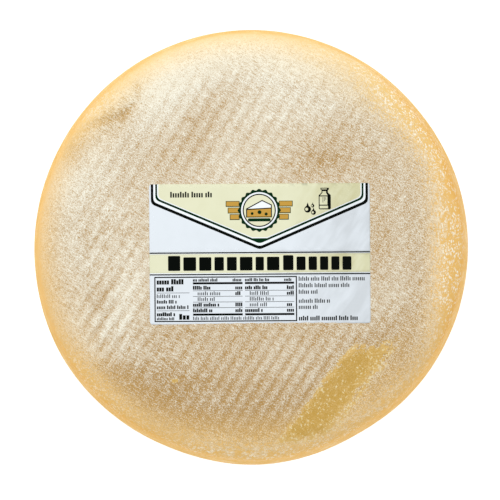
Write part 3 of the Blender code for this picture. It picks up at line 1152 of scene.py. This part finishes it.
def band_blocks(chance):
    """Two groups of broad blocks on the band, the first of each a little taller."""
    blocks = []
    for left, right, count in BAND_GROUPS:
        widths = chance.uniform(0.75, 1.2, count)
        widths[0] = 1.1
        widths *= (right - left - BAND_BLOCK_GAP * (count - 1)) / widths.sum()
        place = left
        for number, width in enumerate(widths):
            top = BAND_BLOCK_TOP if number else BAND_FIRST_BLOCK_TOP
            blocks.append(box(place, place + width, top, BAND_BLOCK_FOOT, BAND_BLOCK_CORNER))
            place += width + BAND_BLOCK_GAP
    return blocks


def wide_column(chance, left, right, rows_set_in):
    """One of the table's wide columns: its head, two thick rules, and rows with thin rules between them."""
    dark = row_of_blocks(chance, left, left + 19.0, WIDE_HEAD_TOP, WIDE_HEAD_HEIGHT, 0.75)
    dark += row_of_blocks(chance, right - 7.6, right, WIDE_HEAD_TOP, WIDE_HEAD_HEIGHT, 0.75)
    dark += [box(left, right, top, foot) for top, foot in WIDE_THICK_RULES]
    for row in range(WIDE_ROWS):
        top = WIDE_ROWS_TOP - WIDE_ROW_PITCH * row
        start, weight = (left + WIDE_ROW_INSET, 0.5) if row in rows_set_in else (left, 0.82)
        reach = chance.uniform(13.0, 21.0)
        dark += row_of_blocks(chance, start, start + reach, top, WIDE_ROW_HEIGHT, weight)
        if row != 2:
            dark += row_of_blocks(chance, right - 5.6, right, top, WIDE_ROW_HEIGHT, 0.8)
        if row < WIDE_ROWS - 1:
            dark.append(box(left, right, top - 3.55, top - 3.9))
    return dark


def table_print(chance):
    """The ruled table at the lower left with its rows of small blocks."""
    inner_top = TABLE_TOP - TABLE_RULE
    inner_foot = TABLE_FOOT + TABLE_RULE
    dark = [
        box(TABLE_LEFT, TABLE_RIGHT, TABLE_TOP, inner_top),
        box(TABLE_LEFT, TABLE_RIGHT, inner_foot, TABLE_FOOT),
        box(TABLE_LEFT, TABLE_LEFT + TABLE_RULE, inner_top, inner_foot),
        box(TABLE_RIGHT - TABLE_RULE, TABLE_RIGHT, inner_top, inner_foot),
    ]
    for right, top, height, weight in NARROW_ROWS:
        dark += row_of_blocks(chance, NARROW_LEFT, right, top, height, weight)
    dark += row_of_blocks(chance, -61.4, -52.4, -45.2, 4.4, 0.8, 0.62)
    dark += [box(NARROW_LEFT, -53.5, rule, rule - 0.35) for rule in NARROW_RULES]
    for left, right, rows_set_in in WIDE_COLUMNS:
        dark += wide_column(chance, left, right, rows_set_in)
    dark += row_of_blocks(chance, -50.9, 15.4, -47.3, 2.6, 0.5)
    return dark


def side_print(chance):
    """The rows of small blocks at the lower right and the one at the upper left."""
    dark = []
    for right, top, height, weight in SIDE_ROWS:
        dark += row_of_blocks(chance, SIDE_LEFT, right, top, height, weight, SIDE_PITCH)
    dark += row_of_blocks(chance, -67.6, -35.2, 47.4, 4.4, 0.66, SIDE_PITCH)
    return dark


def seal_print():
    """A scalloped seal with a wedge on it, between two groups of short bars."""
    middle_x, middle_y = SEAL_MIDDLE
    shapes = []
    for side in (-1, 1):
        for number, length in enumerate(SEAL_BARS):
            near = middle_x + side * (SEAL_RADIUS - 1.0)
            left, right = sorted((near, near + side * length))
            top = middle_y + SEAL_BARS_TOP - SEAL_BAR_PITCH * number
            shapes.append(("green_ink", box(left - 0.5, right + 0.5, top + 0.4, top - 4.0)))
            shapes.append(("gold_ink", box(left, right, top, top - 3.4)))
    shapes.append(("green_ink", disc(SEAL_MIDDLE, SEAL_RADIUS - 0.6, 200, 0.6, SEAL_POINTS)))
    for ink, step_in in SEAL_RINGS:
        shapes.append((ink, disc(SEAL_MIDDLE, SEAL_RADIUS - step_in, 48)))
    wedge = (
        ("green_ink", box(-8.6, 8.6, -6.0, -8.4, 1.1)),
        ("dark_ink", [(-10.0, -5.4), (9.6, -5.4), (9.6, 4.3), (2.2, 7.9), (-10.0, 1.4)]),
        ("gold_ink", [(-9.2, -4.7), (8.8, -4.7), (8.8, 1.3), (-9.2, 0.3)]),
        ("white_ink", [(-8.6, 1.2), (8.8, 2.1), (8.8, 3.8), (2.2, 7.0)]),
    )
    shapes += placed(wedge, SEAL_MIDDLE)
    for hole_x, hole_y, radius in WEDGE_HOLES:
        shapes.append(("green_ink", disc((middle_x + hole_x, middle_y + hole_y), radius, 14)))
    return shapes


def churn_print():
    """A milk churn with three drops beside it."""
    middle_x, middle_y = CHURN_MIDDLE
    half = [(3.2, 8.2), (3.2, 6.9), (2.4, 6.2), (2.4, 4.6), (4.6, 2.6), (4.6, -7.4), (4.0, -8.2)]
    churn = [
        ("dark_ink", half + [(-x, y) for x, y in half[::-1]]),
        ("cream_ink", box(-2.5, 1.6, 7.6, 7.0)),
        ("cream_ink", [(-1.7, 5.6), (1.0, 5.6), (1.0, 4.4), (2.2, 2.4), (-3.6, 2.4), (-1.7, 4.4)]),
        ("cream_ink", box(-3.9, 2.0, 1.6, -4.6)),
        ("cream_ink", box(-3.9, 2.4, -5.4, -7.4)),
    ]
    for number in range(3):
        churn.append(("dark_ink", box(0.6 - 1.1 * number, 1.0 - 1.1 * number, 1.2, -1.0 - number)))
    shapes = placed(churn, CHURN_MIDDLE)
    for drop_x, drop_y, radius in DROPS:
        tip = (middle_x + drop_x, middle_y + drop_y + 2.0 * radius)
        round_part = disc((middle_x + drop_x, middle_y + drop_y), radius, 16)
        shapes.append(("dark_ink", np.vstack((round_part[:4], [tip], round_part[5:]))))
        shine = (middle_x + drop_x - 0.3 * radius, middle_y + drop_y)
        shapes.append(("cream_ink", disc(shine, 0.45 * radius, 10)))
    return shapes


def label_shapes():
    """Everything printed on the label from the lowest layer up: an ink and an outline each."""
    chance = np.random.default_rng(7)
    shapes = [(ink, pennant(*steps_in)) for ink, *steps_in in PENNANT_LAYERS]
    shapes += [(ink, box(-HALF_WIDTH, HALF_WIDTH, top, foot)) for ink, top, foot in BAND_LAYERS]
    dark = band_blocks(chance) + table_print(chance) + side_print(chance)
    shapes += [("dark_ink", corners) for corners in dark]
    return shapes + seal_print() + churn_print()


# ---------------------------------------------------------------- the label's paper and inks

LABEL_GAP = 0.05 * MM
LABEL_THICKNESS = 0.15 * MM
LABEL_SPACING = 2.5
PAPER_ROUGHNESS = 0.6
PAPER_GLOSS = 0.04
SHADE_STREAK_SIZE = 7 * MM
SHADE_CLOUD_SIZE = 12 * MM
SHADE_STREAKS_ALONG = (4.0, 1.0, 1.0)

# How deep the mat's print shows through the paper at its left end and how much more at its right end, and
# between which distances to the right of its middle that and the painted shade, which darkens the label's
# right side, set in
PRINT_THROUGH_PAPER = (0.10, 0.45)
PRINT_AND_SHADE_REACH = (0.012, 0.072)

# The label laid flat on the bake's square: middle and scale of its printed side and of its back, and the
# length, foot and height of the strip that is its cut edge
PRINTED_PLACE = ((0.5, 0.32), 0.98)
BACK_PLACE = ((0.26, 0.80), 0.49)
EDGE_STRIP = (0.96, 0.982, 0.010)

# Each ink as it is on the label's lit left side, and as painted shade darkens it towards the right
INKS = {
    "paper": (colour(0.80, 0.84, 0.88), colour(0.65, 0.68, 0.705)),
    "white_ink": (colour(0.93, 0.96, 0.98), colour(0.80, 0.83, 0.85)),
    "cream_ink": (colour(0.81, 0.80, 0.57), colour(0.63, 0.60, 0.36)),
    "green_ink": (colour(0.001, 0.024, 0.006), colour(0.002, 0.024, 0.007)),
    "dark_ink": (colour(0.001, 0.002, 0.001), colour(0.002, 0.003, 0.002)),
    "gold_ink": (colour(0.58, 0.33, 0.060), colour(0.52, 0.30, 0.06)),
}


def ink_material(name, lit_colour, shaded_colour):
    """One ink on the paper, darkened by painted shade towards the right in soft streaks along the mat's
    strands, and faintly in clouds all over.
    """
    material, tree, shader, place = new_material("label_" + name)
    along_strands = turned(tree, place, MAT_DIRECTION, SHADE_STREAKS_ALONG)
    streaks = mottle(tree, along_strands, SHADE_STREAK_SIZE, seed=4.0)
    cloud = mottle(tree, place, SHADE_CLOUD_SIZE, seed=18.0)
    # Painted shade: soft streaks along the strands towards the right, and faint clouds all over
    painted_shade = named(tree, "painted_shade") * (streaks * 1.4 + 0.75) + cloud * 0.25 + 0.05
    plug(tree, mixed(tree, painted_shade.clamped(), lit_colour, shaded_colour), shader.inputs["Base Color"])
    shader.inputs["Roughness"].default_value = PAPER_ROUGHNESS
    shader.inputs["Specular IOR Level"].default_value = PAPER_GLOSS
    return material


def within(points, corners):
    """Which points lie inside a polygon."""
    found = np.zeros(len(points), dtype=bool)
    near = np.flatnonzero(np.all((points > corners.min(axis=0)) & (points < corners.max(axis=0)), axis=1))
    x, y = points[near].T
    odd = np.zeros(len(near), dtype=bool)
    for (x1, y1), (x2, y2) in zip(corners, np.roll(corners, -1, axis=0)):
        if y1 != y2:
            spans = (y1 > y) != (y2 > y)
            odd ^= spans & (x < x1 + (y - y1) * (x2 - x1) / (y2 - y1))
    found[near] = odd
    return found


def label_sheet():
    """The label as flat triangles whose edges follow the print, with the ink of each."""
    shapes = label_shapes()
    outline = box(-HALF_WIDTH, HALF_WIDTH, HALF_HEIGHT, -HALF_HEIGHT, LABEL_CORNER / MM)
    points = []
    edges = []
    for corners in [outline] + [corners for _, corners in shapes]:
        first = len(points)
        points += [Vector(corner) for corner in corners]
        edges += [(first + index, first + (index + 1) % len(corners)) for index in range(len(corners))]
    x = np.arange(-HALF_WIDTH + LABEL_SPACING / 2, HALF_WIDTH, LABEL_SPACING)
    y = np.arange(-HALF_HEIGHT + LABEL_SPACING / 2, HALF_HEIGHT, LABEL_SPACING)
    points += [Vector(point) for point in np.column_stack([grid.ravel() for grid in np.meshgrid(x, y)])]
    flat, _, faces, _, _, _ = delaunay_2d_cdt(points, edges, [], 1, 1e-5)
    flat = np.array([tuple(point) for point in flat])
    faces = np.array(faces)
    middles = flat[faces].mean(axis=1)
    inks = np.zeros(len(faces), dtype=int)
    names = list(INKS)
    for ink, corners in shapes:
        inks[within(middles, corners)] = names.index(ink)
    return flat, faces, inks


def label_lay_flat(flat, faces, rim):
    """A place on the bake's square for each face corner: the printed side large, the back small."""
    place = flat / (2 * HALF_WIDTH)
    printed = PRINTED_PLACE[0] + PRINTED_PLACE[1] * place[faces.ravel()]
    back = BACK_PLACE[0] + BACK_PLACE[1] * (place * (-1, 1))[faces[:, ::-1].ravel()]
    strip_length, strip_foot, strip_height = EDGE_STRIP
    around = np.arctan2(*flat[rim].T[::-1]) / math.tau
    start, end = around
    end = end + (start - end > 0.5)
    walls = []
    for corners, heights in (((end, start, start), (1, 1, 0)), ((end, start, end), (1, 0, 0))):
        places = [np.column_stack((0.5 + strip_length * share,
                                   np.full(len(rim), strip_foot + strip_height * height)))
                  for share, height in zip(corners, heights)]
        walls.append(np.stack(places, axis=1).reshape(-1, 2))
    return np.vstack((printed, back, *walls))


def build_label(relief):
    flat, faces, inks = label_sheet()
    u, v = flat.T * MM
    x = LABEL_MIDDLE[0] + math.cos(LABEL_TURN) * u - math.sin(LABEL_TURN) * v
    y = LABEL_MIDDLE[1] + math.sin(LABEL_TURN) * u + math.cos(LABEL_TURN) * v
    height = broad_top(x, y) + LABEL_GAP + LABEL_THICKNESS
    sheet = mesh_object("label_sheet", np.column_stack((x, y, height)), faces)
    # How far to the right: the mat's print shows deeper there, and painted shade darkens the inks there
    towards_right = soft_step(*PRINT_AND_SHADE_REACH, u)
    give_attribute(sheet, "print", PRINT_THROUGH_PAPER[0] + PRINT_THROUGH_PAPER[1] * towards_right)
    give_attribute(sheet, "lumpy", np.zeros(len(u)))
    give_attribute(sheet, "creased", np.zeros(len(u)))
    grown(sheet, relief, None, **{"Print depth": 0.5 * MAT_DEPTH})

    upper = np.empty(3 * len(u))
    sheet.data.vertices.foreach_get("co", upper)
    upper = upper.reshape(-1, 3)
    lower = upper - (0, 0, LABEL_THICKNESS)
    count = len(upper)
    sides = {tuple(side) for side in np.vstack((faces[:, :2], faces[:, 1:], faces[:, ::-2])).tolist()}
    rim = np.array([(start, end) for start, end in sorted(sides) if (end, start) not in sides])
    start, end = rim.T
    walls = np.vstack((np.column_stack((end, start, start + count)),
                       np.column_stack((end, start + count, end + count))))
    label = mesh_object("paper_label", np.vstack((upper, lower)),
                        np.vstack((faces, faces[:, ::-1] + count, walls)))
    bpy.data.objects.remove(sheet)
    for name, (lit_colour, shaded_colour) in INKS.items():
        label.data.materials.append(ink_material(name, lit_colour, shaded_colour))
    plain = np.zeros(len(faces) + len(walls), dtype=int)
    label.data.polygons.foreach_set("material_index", np.concatenate((inks, plain)))
    smooth = np.repeat((True, False), (2 * len(faces), len(walls)))
    label.data.polygons.foreach_set("use_smooth", smooth)
    # Painted shade on the inks, growing towards the label's right side
    give_attribute(label, "painted_shade", np.tile(towards_right, 2))
    give_bake_map(label, label_lay_flat(flat, faces, rim))
    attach(label, "root")
    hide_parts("label")


# ---------------------------------------------------------------- the floor, the light and the camera

CAMERA_DISTANCE = 14.0
SENSOR = 36.0

# The photograph's side and, in it, the wheel's width and middle, in pixels, and its widest outline's height
PHOTO_SIDE = 500
WHEEL_SPAN = 433.8
WHEEL_SPOT = (251.1, 247.3)
WIDEST_LEVEL = 0.053

FLOOR_HALF_SIDE = 6.0
FLOOR_LEVEL = -0.2 * MM
FLOOR_COLOUR = colour(0.45, 0.45, 0.45)
FLOOR_GLOW = 0.82

SKY_COLOUR = colour(0.95, 0.98, 1.0)
SKY_STRENGTH = 0.785

KEY_PLACE = (-0.82, 2.50, 3.25)
KEY_AIM = (0, 0, 0.09)
KEY_SIZE = 1.0
KEY_POWER = 60.5


def build_floor():
    flat = box(-FLOOR_HALF_SIDE, FLOOR_HALF_SIDE, FLOOR_HALF_SIDE, -FLOOR_HALF_SIDE)
    corners = np.column_stack((flat, np.full(len(flat), FLOOR_LEVEL)))
    floor = mesh_object("floor", corners, np.array([(0, 1, 2, 3)]))
    material = bpy.data.materials.new("pale_floor")
    material.use_nodes = True
    shader = material.node_tree.nodes["Principled BSDF"]
    shader.inputs["Base Color"].default_value = FLOOR_COLOUR
    shader.inputs["Roughness"].default_value = 0.9
    shader.inputs["Specular IOR Level"].default_value = 0.1
    shader.inputs["Emission Color"].default_value = colour(1, 1, 1)
    shader.inputs["Emission Strength"].default_value = FLOOR_GLOW
    floor.data.materials.append(material)


def build_key_light():
    lamp = bpy.data.lights.new("key", "AREA")
    lamp.shape = "DISK"
    lamp.size = KEY_SIZE
    lamp.energy = KEY_POWER
    made = bpy.data.objects.new("key", lamp)
    made.location = KEY_PLACE
    made.rotation_euler = (Vector(KEY_AIM) - Vector(KEY_PLACE)).to_track_quat("-Z", "Y").to_euler()
    bpy.context.collection.objects.link(made)


def build_camera():
    camera = bpy.data.cameras.new("camera")
    camera.sensor_width = SENSOR
    shown = 2 * WHEEL_RADIUS * PHOTO_SIDE / WHEEL_SPAN
    camera.lens = SENSOR * (CAMERA_DISTANCE - WIDEST_LEVEL) / shown
    camera.shift_x = (PHOTO_SIDE / 2 - WHEEL_SPOT[0]) / PHOTO_SIDE
    camera.shift_y = (WHEEL_SPOT[1] - PHOTO_SIDE / 2) / PHOTO_SIDE
    made = bpy.data.objects.new("camera", camera)
    made.location = (0, 0, CAMERA_DISTANCE)
    bpy.context.collection.objects.link(made)
    bpy.context.scene.camera = made


def build_world():
    world = bpy.data.worlds.new("studio")
    world.use_nodes = True
    sky = world.node_tree.nodes["Background"]
    sky.inputs["Color"].default_value = SKY_COLOUR
    sky.inputs["Strength"].default_value = SKY_STRENGTH
    bpy.context.scene.world = world
    bpy.context.scene.view_settings.view_transform = "Standard"


build_world()
build_camera()
build_floor()
build_key_light()
mat_relief = relief_tree()
build_wheel(mat_relief)
build_label(mat_relief)
